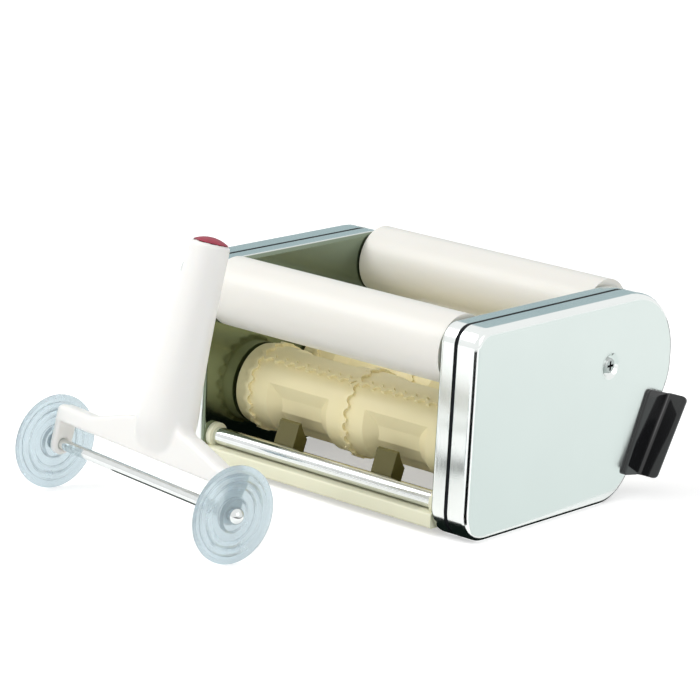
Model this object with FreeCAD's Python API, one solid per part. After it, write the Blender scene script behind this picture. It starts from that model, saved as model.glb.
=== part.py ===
import FreeCAD, Part
import math
import os

# Ravioli maker for a pasta machine, with its plug-in crank and its two-wheel dough cutter.
# Lengths are millimetres and angles are degrees.
# The solids are drawn in the machine's own frame: X runs along the rollers with 0 halfway
# between the casings, Y runs back from the casings' front edge, and Z is up from the table.
# At the end everything moves together, so that the origin is the middle of the footprint.

# Casing outline, seen from the side
casing_height = 95.5
casing_behind_guide = 25.5
slant_behind_rod = 6.1
rear_slant_angle = 56.1
front_bottom_radius = 14.0
rear_bottom_radius = 24.0
slant_top_radius = 26.0
rear_top_radius = 32.0
front_top_radius = 9.0

# Casing layers, measured from the middle of the machine outwards
inner_face_x = 67.7
sheet_thickness = 0.8
pan_depth = 7.9
side_plate_thickness = 2.0
cover_depth = 10.7
side_plate_inset = 0.5
pan_edge_radius = 2.0
cover_edge_radius = 3.0

# Cover screw and the post it goes into
screw_before_guide = 22.3
screw_below_top = 30.5
dimple_radius = 5.9
dimple_floor_radius = 4.4
dimple_depth = 1.7
screw_head_radius = 3.5
screw_head_height = 1.5
screw_radius = 2.0
screw_length = 9.0
cross_slot_width = 1.1
cross_slot_depth = 0.9
post_across_flats = 9.0

# Hook brackets that slide into the pasta machine's guides
hook_thickness = 1.5
hook_length = 40.0
hook_leg_width = 16.5
hook_reach = 11.0
hook_bend_radius = 1.2
hook_gap = 4.3
hook_start = 14.5
rivet_radius = 1.5
rivet_head_radius = 2.8
rivet_head_height = 0.9
rivet_spacing = 22.0
rivet_from_bend = 10.5

# Forming rolls
roll_axis_z = 33.5
front_roll_y = 39.0
gear_module = 2.0
gear_teeth = 21
roll_half_length = 66.5
land_radius = 19.4
drum_end_radius = 18.8
ridge_height = 1.4
ridge_width = 4.0
ridge_pitch = 58.0
land_half_length = 60.6
pocket_floor_radius = 16.0
ring_band_half_width = 10.8
pocket_wall_run = 6.6
pocket_end_land_angle = 34.0
pocket_end_wall_angle = 18.0
pocket_flat_angle = 26.0
ridge_angle = 56.0
pockets_round = 2
scallops_round = 20
scallop_depth = 1.9
scallop_radius = 2.4

# Shafts, bushes and gears
shaft_radius = 6.0
running_clearance = 0.05
bush_wall = 2.5
bush_flange_radius = 10.0
bush_flange_thickness = 1.4
gear_width = 6.0
gear_gap = 0.2
gear_backlash = 0.3
pressure_angle = 20.0
clip_thickness = 0.8
clip_wall = 2.2
clip_groove_depth = 0.6
shaft_flat_depth = 1.0
shaft_end_gap = 0.6

# Guide rollers and their fixed axles
guide_radius = 16.0
guide_wall = 2.4
guide_end_gap = 0.8
front_guide_y = 16.2
front_guide_below_top = 14.7
guide_behind_roll = 38.3
rear_guide_below_top = 13.9
guide_axle_radius = 3.0
plug_length = 9.0
plug_rim_depth = 1.0
plug_rim_width = 2.6

# Tie rods and dough combs
tie_rod_radius = 4.0
tie_thread_radius = 2.5
tie_rod_z = 14.0
front_tie_rod_y = 8.0
rod_behind_roll = 23.0
nut_across_flats = 8.0
nut_height = 4.0
comb_bottom_z = 3.0
comb_front_reach = 7.0
comb_rear_reach = 4.4
comb_inner_reach = 8.6
comb_rod_gap = 0.1
comb_lug_length = 2.6
comb_lug_wall = 1.8
finger_width = 11.6
finger_rod_gap = 0.4
finger_roll_gap = 1.6
finger_tip_angle = 16.0
finger_root_angle = 40.0
finger_tip_thickness = 1.6
finger_knee_height = 7.0

# Crank: a bent steel rod with a square tip, and a turned knob that rests on the table
crank_rod_radius = 4.0
crank_square = 6.8
socket_square = 7.0
socket_depth = 24.0
crank_tip_length = 24.2
crank_arm_length = 92.0
crank_arm_x = 116.0
crank_bend_radius = 9.0
crank_hole_radius = 6.5
knob_length = 58.0
knob_radius = 12.5
knob_waist_radius = 9.5
knob_pin_radius = 3.0
knob_end_gap = 0.3
knob_screw_radius = 5.0
knob_screw_height = 2.2
knob_recess_gap = 0.3
knob_table_gap = 0.3

# Two-wheel dough cutter, which stands free in front of the machine
cutter_x = -24.2
cutter_y = -84.4
cutter_turn = -8.4
cutter_lean = 14.6
wheel_radius = 21.3
wheel_spacing = 126.6
wheel_web = 1.7
wheel_hub_radius = 7.0
wheel_hub_length = 4.4
wheel_inner_ring = 12.9
wheel_outer_ring = 16.4
wheel_ring_width = 1.5
wheel_ring_height = 0.55
wheel_rim_width = 2.2
wheel_edge = 0.7
cutter_axle_radius = 2.5
cutter_journal_radius = 2.0
dome_radius = 3.7
dome_height = 2.6
yoke_leg_thickness = 3.6
yoke_leg_width = 10.0
yoke_leg_gap = 0.3
yoke_gap = 10.0
yoke_end_thickness = 7.6
yoke_rise = 6.8
yoke_rise_half_length = 21.0
yoke_slope_length = 23.5
yoke_width = 11.0
yoke_edge_radius = 2.6
gusset_height = 7.0
handle_offset = 7.5
handle_top = 105.6
handle_top_radius = 8.8
handle_middle_radius = 10.6
handle_low_radius = 12.6
handle_foot_radius = 14.2
handle_middle_height = 61.0
handle_low_height = 36.0
cap_radius = 7.75
cap_dome = 2.2
cap_plug_depth = 5.0

X_AXIS = FreeCAD.Vector(1, 0, 0)
ORIGIN = FreeCAD.Vector(0, 0, 0)

# Places that follow from the sizes above
side_plate_x = inner_face_x + pan_depth
cover_start_x = side_plate_x + side_plate_thickness
outer_face_x = cover_start_x + cover_depth
roll_distance = gear_module * gear_teeth
rear_roll_y = front_roll_y + roll_distance
rear_guide_y = rear_roll_y + guide_behind_roll
front_guide_z = casing_height - front_guide_below_top
rear_guide_z = casing_height - rear_guide_below_top
rear_tie_rod_y = rear_roll_y + rod_behind_roll
rear_slant_start = rear_tie_rod_y + slant_behind_rod
casing_depth = rear_guide_y + casing_behind_guide
screw_y = rear_guide_y - screw_before_guide
screw_z = casing_height - screw_below_top
ring_radius = land_radius + ridge_height
bush_end_x = cover_start_x + bush_flange_thickness
gear_start_x = bush_end_x + gear_gap
shaft_end_x = outer_face_x - sheet_thickness - shaft_end_gap
wheel_axis_z = wheel_radius
knob_drop = roll_axis_z - knob_radius - knob_table_gap
crank_drop_angle = math.degrees(math.asin(knob_drop / crank_arm_length))


def vector(x, y, z):
    return FreeCAD.Vector(x, y, z)


def box(low, high):
    size = [high[i] - low[i] for i in range(3)]
    return Part.makeBox(size[0], size[1], size[2], vector(*low))


def rod(radius, x_start, x_end, y, z):
    """A round bar along X."""
    return Part.makeCylinder(radius, x_end - x_start, vector(x_start, y, z), X_AXIS)


def hexagon_bar(across_flats, x_start, x_end, y, z):
    radius = across_flats / math.sqrt(3)
    corners = []
    for i in range(7):
        turn = math.radians(60 * i)
        corners.append(vector(x_start, y + radius * math.cos(turn), z + radius * math.sin(turn)))
    return Part.Face(Part.makePolygon(corners)).extrude(vector(x_end - x_start, 0, 0))


def mirrored(shape):
    """The same piece on the left side of the machine."""
    return shape.mirror(ORIGIN, X_AXIS)


def revolved(points, axis_point=ORIGIN, axis=X_AXIS, angle=360):
    """Turn a closed outline of (along, radius) points about a line parallel to X."""
    corners = [axis_point + vector(along, 0, radius) for along, radius in points]
    face = Part.Face(Part.makePolygon(corners + corners[:1]))
    return face.revolve(axis_point, axis, angle)


def union(shapes):
    return shapes[0].fuse(shapes[1:]).removeSplitter()


def rounded_outline(corners, radii, inset, x):
    """A closed wire in the plane at x, from corners in order, moved inwards by inset."""
    count = len(corners)
    lines = []
    for i in range(count):
        y0, z0 = corners[i]
        y1, z1 = corners[(i + 1) % count]
        length = math.hypot(y1 - y0, z1 - z0)
        normal = (-(z1 - z0) / length, (y1 - y0) / length)
        lines.append((normal, normal[0] * y0 + normal[1] * z0 + inset))
    moved = []
    for i in range(count):
        (a, b), c = lines[i - 1]
        (d, e), f = lines[i]
        scale = a * e - b * d
        moved.append(vector(x, (c * e - b * f) / scale, (a * f - c * d) / scale))
    edges = []
    starts = []
    ends = []
    for i in range(count):
        before = (moved[i - 1] - moved[i]).normalize()
        after = (moved[(i + 1) % count] - moved[i]).normalize()
        half_angle = before.getAngle(after) / 2
        radius = radii[i] - inset
        reach = radius / math.tan(half_angle)
        middle = (before + after).normalize() * (radius / math.sin(half_angle) - radius)
        starts.append(moved[i] + before * reach)
        ends.append(moved[i] + after * reach)
        edges.append(Part.Arc(starts[i], moved[i] + middle, ends[i]).toShape())
        if i:
            edges.append(Part.makeLine(ends[i - 1], starts[i]))
    edges.append(Part.makeLine(ends[-1], starts[0]))
    return Part.Wire(Part.__sortEdges__(edges))


def casing_outline(x, inset=0.0):
    slant = math.radians(rear_slant_angle)
    slant_top = (casing_depth - rear_slant_start) * math.tan(slant)
    corners = [
        (0, 0),
        (rear_slant_start, 0),
        (casing_depth, slant_top),
        (casing_depth, casing_height),
        (0, casing_height),
    ]
    radii = [
        front_bottom_radius,
        rear_bottom_radius,
        slant_top_radius,
        rear_top_radius,
        front_top_radius,
    ]
    return rounded_outline(corners, radii, inset, x)


def casing_prism(x_start, x_end, inset=0.0):
    return Part.Face(casing_outline(x_start, inset)).extrude(vector(x_end - x_start, 0, 0))


def fillet_rim(shape, x, radius):
    """Round the edges that lie in the plane at x."""
    rim = [e for e in shape.Edges if all(abs(v.Point.x - x) < 1e-6 for v in e.Vertexes)]
    return shape.makeFillet(radius, rim)


def casing_shell(face_x, rim_x, edge_radius):
    """A pressed sheet pan, closed at face_x and open at rim_x."""
    side = 1 if rim_x > face_x else -1
    outside = fillet_rim(casing_prism(face_x, rim_x), face_x, edge_radius)
    floor_x = face_x + side * sheet_thickness
    hollow = casing_prism(floor_x, rim_x, sheet_thickness)
    hollow = fillet_rim(hollow, floor_x, edge_radius - sheet_thickness)
    return outside.cut(hollow)


def rolls():
    return [(front_roll_y, roll_axis_z), (rear_roll_y, roll_axis_z)]


def guides():
    return [(front_guide_y, front_guide_z), (rear_guide_y, rear_guide_z)]


def tie_rods():
    return [(front_tie_rod_y, tie_rod_z), (rear_tie_rod_y, tie_rod_z)]


# Casings, one on each side: an inner pan, a side plate and an outer cover
def inner_pan():
    shell = casing_shell(inner_face_x, side_plate_x, pan_edge_radius)
    holes = []
    for y, z in rolls():
        holes.append(rod(shaft_radius + 1, inner_face_x - 1, side_plate_x, y, z))
    for y, z in guides():
        holes.append(rod(guide_axle_radius, inner_face_x - 1, side_plate_x, y, z))
    for y, z in tie_rods():
        holes.append(rod(tie_rod_radius, inner_face_x - 1, side_plate_x, y, z))
    return shell.cut(holes)


def side_plate():
    plate = casing_prism(side_plate_x, cover_start_x, side_plate_inset)
    holes = []
    for y, z in rolls():
        holes.append(rod(bush_outer_radius(), side_plate_x - 1, cover_start_x + 1, y, z))
    for y, z in guides():
        holes.append(rod(guide_axle_radius, side_plate_x - 1, cover_start_x + 1, y, z))
    for y, z in tie_rods():
        holes.append(rod(tie_thread_radius, side_plate_x - 1, cover_start_x + 1, y, z))
    return plate.cut(holes)


def hook_frame():
    """Direction along the slanted edge, direction out of it, and the bracket's low corner."""
    slant = math.radians(rear_slant_angle)
    along = vector(0, math.cos(slant), math.sin(slant))
    outwards = vector(0, math.sin(slant), -math.cos(slant))
    corner = vector(outer_face_x, rear_slant_start, 0) + along * hook_start + outwards * hook_gap
    return along, outwards, corner


def rivet_points():
    along, outwards, corner = hook_frame()
    middle = corner + along * (hook_length / 2) - outwards * rivet_from_bend
    return [middle + along * (side * rivet_spacing / 2) for side in (-1, 1)]


def outer_cover(crank_hole):
    shell = casing_shell(outer_face_x, cover_start_x, cover_edge_radius)
    boss_depth = dimple_depth + sheet_thickness
    boss = Part.makeCone(
        dimple_radius + sheet_thickness,
        dimple_floor_radius + sheet_thickness,
        boss_depth,
        vector(outer_face_x, screw_y, screw_z),
        vector(-1, 0, 0),
    )
    dimple = Part.makeCone(
        dimple_radius,
        dimple_floor_radius,
        dimple_depth,
        vector(outer_face_x, screw_y, screw_z),
        vector(-1, 0, 0),
    )
    holes = [dimple, rod(screw_radius, cover_start_x, outer_face_x, screw_y, screw_z)]
    if crank_hole:
        holes.append(
            rod(crank_hole_radius, cover_start_x, outer_face_x + 1, front_roll_y, roll_axis_z)
        )
    for point in rivet_points():
        holes.append(rod(rivet_radius, cover_start_x, outer_face_x + 1, point.y, point.z))
    return shell.fuse(boss).cut(holes)


def cover_post():
    end_x = outer_face_x - dimple_depth - sheet_thickness
    post = hexagon_bar(post_across_flats, cover_start_x, end_x, screw_y, screw_z)
    return post.cut(rod(screw_radius, end_x - screw_length, end_x + 1, screw_y, screw_z))


def cover_screw():
    seat_x = outer_face_x - dimple_depth
    tip_x = seat_x - screw_length
    head = rod(screw_head_radius, seat_x, seat_x + screw_head_height, screw_y, screw_z)
    head = fillet_rim(head, seat_x + screw_head_height, screw_head_height * 0.5)
    shank = rod(screw_radius, tip_x, seat_x, screw_y, screw_z)
    reach = screw_head_radius * 0.62
    half = cross_slot_width / 2
    top_x = seat_x + screw_head_height
    low_x = top_x - cross_slot_depth
    slots = [
        box((low_x, screw_y - reach, screw_z - half), (top_x + 1, screw_y + reach, screw_z + half)),
        box((low_x, screw_y - half, screw_z - reach), (top_x + 1, screw_y + half, screw_z + reach)),
    ]
    return head.fuse(shank).cut(slots)


def hook_bracket():
    """An angle of black steel: one leg flat on the cover, the other standing out from it."""
    along, outwards, corner = hook_frame()
    flat_end = corner - outwards * hook_leg_width
    out = X_AXIS
    inner = hook_bend_radius
    outer = hook_bend_radius + hook_thickness
    centre = corner + out * (hook_thickness + inner) - outwards * outer
    diagonal = (outwards - out).normalize()
    edges = [
        Part.makeLine(flat_end, centre - out * outer),
        Part.Arc(centre - out * outer, centre + diagonal * outer, centre + outwards * outer).toShape(),
        Part.makeLine(centre + outwards * outer, corner + out * hook_reach),
        Part.makeLine(corner + out * hook_reach, corner + out * hook_reach - outwards * hook_thickness),
        Part.makeLine(corner + out * hook_reach - outwards * hook_thickness, centre + outwards * inner),
        Part.Arc(centre + outwards * inner, centre + diagonal * inner, centre - out * inner).toShape(),
        Part.makeLine(centre - out * inner, flat_end + out * hook_thickness),
        Part.makeLine(flat_end + out * hook_thickness, flat_end),
    ]
    angle = Part.Face(Part.Wire(edges)).extrude(along * hook_length)
    holes = []
    for point in rivet_points():
        holes.append(
            rod(rivet_radius, outer_face_x - 1, outer_face_x + hook_thickness * 0.6, point.y, point.z)
        )
    return angle.cut(holes)


def hook_rivets():
    """Rivets set from inside the cover, so that no head shows on the bracket."""
    inner_x = outer_face_x - sheet_thickness
    solids = []
    for point in rivet_points():
        head = rod(rivet_head_radius, inner_x - rivet_head_height, inner_x, point.y, point.z)
        shank = rod(rivet_radius, inner_x, outer_face_x + hook_thickness * 0.6, point.y, point.z)
        solids.append(head.fuse(shank))
    return solids + [mirrored(s) for s in solids]


# Tie rods, their nuts and the dough combs
def tie_rod(y, z):
    bar = rod(tie_rod_radius, -side_plate_x, side_plate_x, y, z)
    thread_end = cover_start_x + nut_height + 1.2
    thread = rod(tie_thread_radius, -thread_end, thread_end, y, z)
    return bar.fuse(thread)


def tie_rod_nuts():
    nuts = []
    for y, z in tie_rods():
        nut = hexagon_bar(nut_across_flats, cover_start_x, cover_start_x + nut_height, y, z)
        nut = nut.cut(rod(tie_thread_radius, cover_start_x - 1, cover_start_x + nut_height + 1, y, z))
        nuts += [nut, mirrored(nut)]
    return nuts


def dough_comb(rod_y, roll_y, outer_reach, towards_roll):
    """A bar under the tie rod, with a finger at the middle of each pocket of the roll."""
    bar_top = tie_rod_z - tie_rod_radius - comb_rod_gap
    outer_y = rod_y - towards_roll * outer_reach
    inner_y = rod_y + towards_roll * comb_inner_reach
    low_y, high_y = sorted((outer_y, inner_y))
    bar = box((-inner_face_x, low_y, comb_bottom_z), (inner_face_x, high_y, bar_top))
    long_edges = [e for e in bar.Edges if abs(e.tangentAt(e.FirstParameter).x) > 0.99]
    bar = bar.makeFillet(1.2, long_edges)
    pieces = [bar]
    for side in (-1, 1):
        end_x = side * inner_face_x
        start_x = end_x - side * comb_lug_length
        low_x, high_x = sorted((start_x, end_x))
        pieces.append(rod(tie_rod_radius + comb_lug_wall, low_x, high_x, rod_y, tie_rod_z))
    for middle_x in (-ridge_pitch / 2, ridge_pitch / 2):
        pieces.append(comb_finger(middle_x, rod_y, roll_y, towards_roll))
    comb = union(pieces)
    return comb.cut(rod(tie_rod_radius, -inner_face_x - 1, inner_face_x + 1, rod_y, tie_rod_z))


def comb_finger(middle_x, rod_y, roll_y, towards_roll):
    reach = ring_radius + finger_roll_gap

    def beside_roll(angle, extra=0.0):
        turn = math.radians(angle)
        distance = reach + extra
        y = roll_y - towards_roll * distance * math.cos(turn)
        return vector(middle_x - finger_width / 2, y, roll_axis_z - distance * math.sin(turn))

    foot_z = comb_bottom_z + 2
    near_rod = rod_y + towards_roll * (tie_rod_radius + finger_rod_gap)
    start = middle_x - finger_width / 2
    foot_outer = vector(start, near_rod, foot_z)
    knee_outer = vector(start, near_rod, tie_rod_z - tie_rod_radius + finger_knee_height)
    tip_outer = beside_roll(finger_tip_angle, finger_tip_thickness)
    tip_inner = beside_roll(finger_tip_angle)
    middle = beside_roll((finger_tip_angle + finger_root_angle) / 2)
    root = beside_roll(finger_root_angle)
    foot_inner = vector(start, rod_y + towards_roll * comb_inner_reach, foot_z)
    edges = [
        Part.makeLine(foot_outer, knee_outer),
        Part.makeLine(knee_outer, tip_outer),
        Part.makeLine(tip_outer, tip_inner),
        Part.Arc(tip_inner, middle, root).toShape(),
        Part.makeLine(root, foot_inner),
        Part.makeLine(foot_inner, foot_outer),
    ]
    return Part.Face(Part.Wire(edges)).extrude(vector(finger_width, 0, 0))


# Shafts, bushes, gears and clips
def bush_outer_radius():
    return shaft_radius + running_clearance + bush_wall


def shaft_bushes():
    bushes = []
    for y, z in rolls():
        sleeve = rod(bush_outer_radius(), side_plate_x, cover_start_x, y, z)
        flange = rod(bush_flange_radius, cover_start_x, bush_end_x, y, z)
        bore = rod(shaft_radius + running_clearance, side_plate_x - 1, bush_end_x + 1, y, z)
        bush = sleeve.fuse(flange).cut(bore)
        bushes += [bush, mirrored(bush)]
    return bushes


def clip_groove(radius, x_start, y, z):
    outside = rod(radius + 1, x_start, x_start + clip_thickness, y, z)
    return outside.cut(rod(radius - clip_groove_depth, x_start, x_start + clip_thickness, y, z))


def retaining_clip(radius, x_start, y, z):
    """An open ring that snaps into a groove of the bar."""
    x_end = x_start + clip_thickness
    ring = rod(radius + clip_wall, x_start, x_end, y, z)
    ring = ring.cut(rod(radius - clip_groove_depth, x_start - 1, x_end + 1, y, z))
    mouth = radius * 0.7
    return ring.cut(box((x_start - 1, y - mouth, z - radius * 2), (x_end + 1, y + mouth, z)))


def gear_clip_x():
    return gear_start_x + gear_width


def roll_shaft(y, left_end_x):
    shaft = rod(shaft_radius, -left_end_x, shaft_end_x, y, roll_axis_z)
    flat_z = roll_axis_z + shaft_radius - shaft_flat_depth
    flat = box((gear_start_x, y - shaft_radius, flat_z), (shaft_end_x + 1, y + shaft_radius, flat_z + 5))
    cuts = [
        flat,
        clip_groove(shaft_radius, gear_clip_x(), y, roll_axis_z),
        clip_groove(shaft_radius, -bush_end_x - clip_thickness, y, roll_axis_z),
    ]
    return shaft.cut(cuts)


def lowered(shape):
    """Turn a piece that is drawn for a level crank to where the knob meets the table."""
    shape.rotate(vector(0, front_roll_y, roll_axis_z), X_AXIS, -crank_drop_angle)
    return shape


def front_shaft():
    """The driven shaft, with a square socket for the crank in its left end."""
    shaft = roll_shaft(front_roll_y, shaft_end_x)
    half = socket_square / 2
    socket = box(
        (-shaft_end_x - 1, front_roll_y - half, roll_axis_z - half),
        (-shaft_end_x + socket_depth, front_roll_y + half, roll_axis_z + half),
    )
    return shaft.cut(lowered(socket))


def shaft_clips(y):
    return [
        retaining_clip(shaft_radius, gear_clip_x(), y, roll_axis_z),
        retaining_clip(shaft_radius, -bush_end_x - clip_thickness, y, roll_axis_z),
    ]


def spur_gear(y):
    """An involute spur gear on the right end of a roll shaft, one tooth pointing back."""
    pitch_radius = gear_module * gear_teeth / 2
    base_radius = pitch_radius * math.cos(math.radians(pressure_angle))
    tip_radius = pitch_radius + gear_module
    root_radius = pitch_radius - 1.25 * gear_module
    tooth_half = (math.pi * gear_module / 2 - gear_backlash) / 2 / pitch_radius
    flank_start = math.tan(math.radians(pressure_angle)) - math.radians(pressure_angle)

    def flank_point(radius, side, turn):
        if radius > base_radius:
            roll_angle = math.acos(base_radius / radius)
            involute = math.tan(roll_angle) - roll_angle
        else:
            involute = 0.0
        angle = turn + side * (tooth_half + flank_start - involute)
        return vector(gear_start_x, y + radius * math.cos(angle), roll_axis_z + radius * math.sin(angle))

    steps = 4
    radii = [root_radius] + [
        base_radius + (tip_radius - base_radius) * i / steps for i in range(steps + 1)
    ]
    edges = []
    previous_end = None
    first_start = None
    for tooth in range(gear_teeth):
        turn = 2 * math.pi * tooth / gear_teeth
        rising = [flank_point(r, -1, turn) for r in radii]
        falling = [flank_point(r, 1, turn) for r in reversed(radii)]
        if previous_end is not None:
            edges.append(Part.makeLine(previous_end, rising[0]))
        else:
            first_start = rising[0]
        for flank in (rising, falling):
            edges += [Part.makeLine(flank[i], flank[i + 1]) for i in range(len(flank) - 1)]
            if flank is rising:
                edges.append(Part.makeLine(rising[-1], falling[0]))
        previous_end = falling[-1]
    edges.append(Part.makeLine(previous_end, first_start))
    blank = Part.Face(Part.Wire(edges)).extrude(vector(gear_width, 0, 0))
    bore = rod(shaft_radius, gear_start_x - 1, gear_start_x + gear_width + 1, y, roll_axis_z)
    flat_z = roll_axis_z + shaft_radius - shaft_flat_depth
    bore = bore.cut(
        box(
            (gear_start_x - 2, y - shaft_radius, flat_z),
            (gear_start_x + gear_width + 2, y + shaft_radius, flat_z + 5),
        )
    )
    return blank.cut(bore)


# Forming rolls: pockets between raised lands, each edged by a scalloped cutting ridge
def scallop_cutters_round(x, ridge_half):
    """Radial bars that bite into both sides of a ridge that runs round the roll."""
    cutters = []
    offset = ridge_half + scallop_radius - scallop_depth
    for i in range(2 * scallops_round):
        turn = math.pi * i / scallops_round
        side = 1 if i % 2 else -1
        outwards = vector(0, math.cos(turn), math.sin(turn))
        foot = vector(x + side * offset, 0, 0) + outwards * (land_radius - 1)
        cutters.append(Part.makeCylinder(scallop_radius, ridge_height + 2, foot, outwards))
    return cutters


def ring_ridge(x):
    half = ridge_width / 2
    ring = Part.makeCylinder(ring_radius, ridge_width, vector(x - half, 0, 0), X_AXIS)
    ring = ring.cut(Part.makeCylinder(land_radius - 0.6, ridge_width, vector(x - half, 0, 0), X_AXIS))
    return ring.cut(Part.makeCompound(scallop_cutters_round(x, half)))


def axial_ridge(turn):
    """A scalloped ridge along the roll, drawn on top of it and then turned to its place."""
    half = ridge_width / 2
    low = land_radius - 0.6
    bar = box((-ridge_pitch, -half, low), (ridge_pitch, half, ring_radius))
    step = math.pi * ring_radius / scallops_round
    count = int(round(2 * ridge_pitch / step))
    offset = half + scallop_radius - scallop_depth
    cutters = []
    for i in range(count + 1):
        side = 1 if i % 2 else -1
        foot = vector(-ridge_pitch + i * 2 * ridge_pitch / count, side * offset, low - 1)
        cutters.append(Part.makeCylinder(scallop_radius, ridge_height + 3, foot))
    bar = bar.cut(Part.makeCompound(cutters))
    bar.rotate(ORIGIN, X_AXIS, turn - 90)
    return bar


def pocket_cutter(turn, side):
    """The hollow of one pocket: a flat floor, a ramp before and after it, and four sloping walls."""
    lowest_radius = pocket_floor_radius * math.cos(math.radians(pocket_flat_angle / 2))
    wall_slope = pocket_wall_run / (land_radius - lowest_radius)
    above = 2.0
    top_radius = land_radius + above
    near = ring_band_half_width
    far = ridge_pitch - ring_band_half_width
    profile = [
        (side * (near - above * wall_slope), top_radius),
        (side * (near + pocket_wall_run), lowest_radius),
        (side * (far - pocket_wall_run), lowest_radius),
        (side * (far + above * wall_slope), top_radius),
    ]
    ring = revolved(profile)
    span = 360 / pockets_round

    def polar(angle, radius):
        direction = math.radians(turn + angle)
        return vector(-ridge_pitch - 9, radius * math.cos(direction), radius * math.sin(direction))

    start_out = polar(pocket_end_land_angle, land_radius)
    start_in = polar(pocket_end_land_angle + pocket_end_wall_angle, pocket_floor_radius)
    end_out = polar(span - pocket_end_land_angle, land_radius)
    end_in = polar(span - pocket_end_land_angle - pocket_end_wall_angle, pocket_floor_radius)
    flat_start = polar((span - pocket_flat_angle) / 2, pocket_floor_radius)
    flat_end = polar((span + pocket_flat_angle) / 2, pocket_floor_radius)
    corners = [flat_start, start_in, start_in + (start_out - start_in) * 2.5]
    corners += [polar(span * share, 2.5 * land_radius) for share in (0.3, 0.5, 0.7)]
    corners += [end_in + (end_out - end_in) * 2.5, end_in, flat_end, flat_start]
    wedge = Part.Face(Part.makePolygon(corners)).extrude(vector(2 * ridge_pitch + 18, 0, 0))
    return ring.common(wedge)


def forming_roll(y, turn):
    drum = Part.makeCylinder(drum_end_radius, 2 * roll_half_length, vector(-roll_half_length, 0, 0), X_AXIS)
    land = Part.makeCylinder(land_radius, 2 * land_half_length, vector(-land_half_length, 0, 0), X_AXIS)
    roll = drum.fuse(land)
    pockets = []
    for i in range(pockets_round):
        for side in (-1, 1):
            pockets.append(pocket_cutter(i * 360 / pockets_round, side))
    bore = Part.makeCylinder(shaft_radius, 2 * roll_half_length + 2, vector(-roll_half_length - 1, 0, 0), X_AXIS)
    roll = roll.cut(pockets + [bore])
    ridges = [ring_ridge(x) for x in (-ridge_pitch, 0, ridge_pitch)]
    ridges += [axial_ridge(i * 360 / pockets_round) for i in range(pockets_round)]
    roll = roll.fuse(ridges)
    roll.rotate(ORIGIN, X_AXIS, turn)
    roll.translate(vector(0, y, roll_axis_z))
    return roll


# Guide rollers, their end plugs and the fixed axles they turn on
def guide_roller(y, z):
    half = inner_face_x - guide_end_gap
    tube = rod(guide_radius, -half, half, y, z)
    return tube.cut(rod(guide_radius - guide_wall, -half - 1, half + 1, y, z))


def guide_plugs(y, z):
    """A turned plug in each end of a guide roller, with a shallow dish in its face."""
    end = inner_face_x - guide_end_gap
    bore = guide_axle_radius + running_clearance
    rim = guide_radius - guide_wall
    profile = [
        (end, rim),
        (end, rim - plug_rim_width),
        (end - plug_rim_depth, rim - plug_rim_width - 0.4),
        (end - plug_rim_depth, bore + 2.4),
        (end, bore + 2),
        (end, bore),
        (end - plug_length, bore),
        (end - plug_length, rim),
    ]
    plug = revolved(profile, vector(0, y, z))
    return [plug, mirrored(plug)]


def guide_axle(y, z):
    end = cover_start_x + clip_thickness + 1.4
    axle = rod(guide_axle_radius, -end, end, y, z)
    groove = clip_groove(guide_axle_radius, cover_start_x, y, z)
    return axle.cut([groove, mirrored(groove)])


def guide_axle_clips():
    clips = []
    for y, z in guides():
        clip = retaining_clip(guide_axle_radius, cover_start_x, y, z)
        clips += [clip, mirrored(clip)]
    return clips


# Crank: square tip in the front shaft's socket, arm lying level towards the back
def crank_rod():
    bend = crank_bend_radius
    start = vector(-(shaft_end_x - socket_depth + 1), front_roll_y, roll_axis_z)
    arm_start = vector(-crank_arm_x, front_roll_y, roll_axis_z)
    arm_end = vector(-crank_arm_x, front_roll_y + crank_arm_length, roll_axis_z)
    pin_start = arm_end - X_AXIS * bend
    quarter = bend * (1 - math.sqrt(0.5))
    first_bend = vector(-crank_arm_x + quarter, front_roll_y + quarter, roll_axis_z)
    second_bend = vector(-crank_arm_x - quarter, front_roll_y + crank_arm_length - quarter, roll_axis_z)
    along_y = vector(0, 1, 0)
    path = Part.Wire(
        [
            Part.makeLine(start, arm_start + X_AXIS * bend),
            Part.Arc(arm_start + X_AXIS * bend, first_bend, arm_start + along_y * bend).toShape(),
            Part.makeLine(arm_start + along_y * bend, arm_end - along_y * bend),
            Part.Arc(arm_end - along_y * bend, second_bend, pin_start).toShape(),
        ]
    )
    circle = Part.Wire(Part.makeCircle(crank_rod_radius, start, X_AXIS))
    bar = path.makePipeShell([circle], True, False)
    half = crank_square / 2
    tip_end = start.x - crank_tip_length
    around = rod(crank_rod_radius + 2, tip_end, start.x + 1, front_roll_y, roll_axis_z)
    square = box(
        (tip_end - 1, front_roll_y - half, roll_axis_z - half),
        (start.x + 2, front_roll_y + half, roll_axis_z + half),
    )
    bar = bar.cut(around.cut(square))
    pin = rod(knob_pin_radius, knob_tip_x() - 0.4, pin_start.x, arm_end.y, roll_axis_z)
    return bar.fuse(pin)


def knob_start_x():
    return -(crank_arm_x + crank_bend_radius) - knob_end_gap


def knob_tip_x():
    return knob_start_x() - knob_length + knob_screw_height + knob_recess_gap


def knob_y():
    return front_roll_y + crank_arm_length


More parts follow.
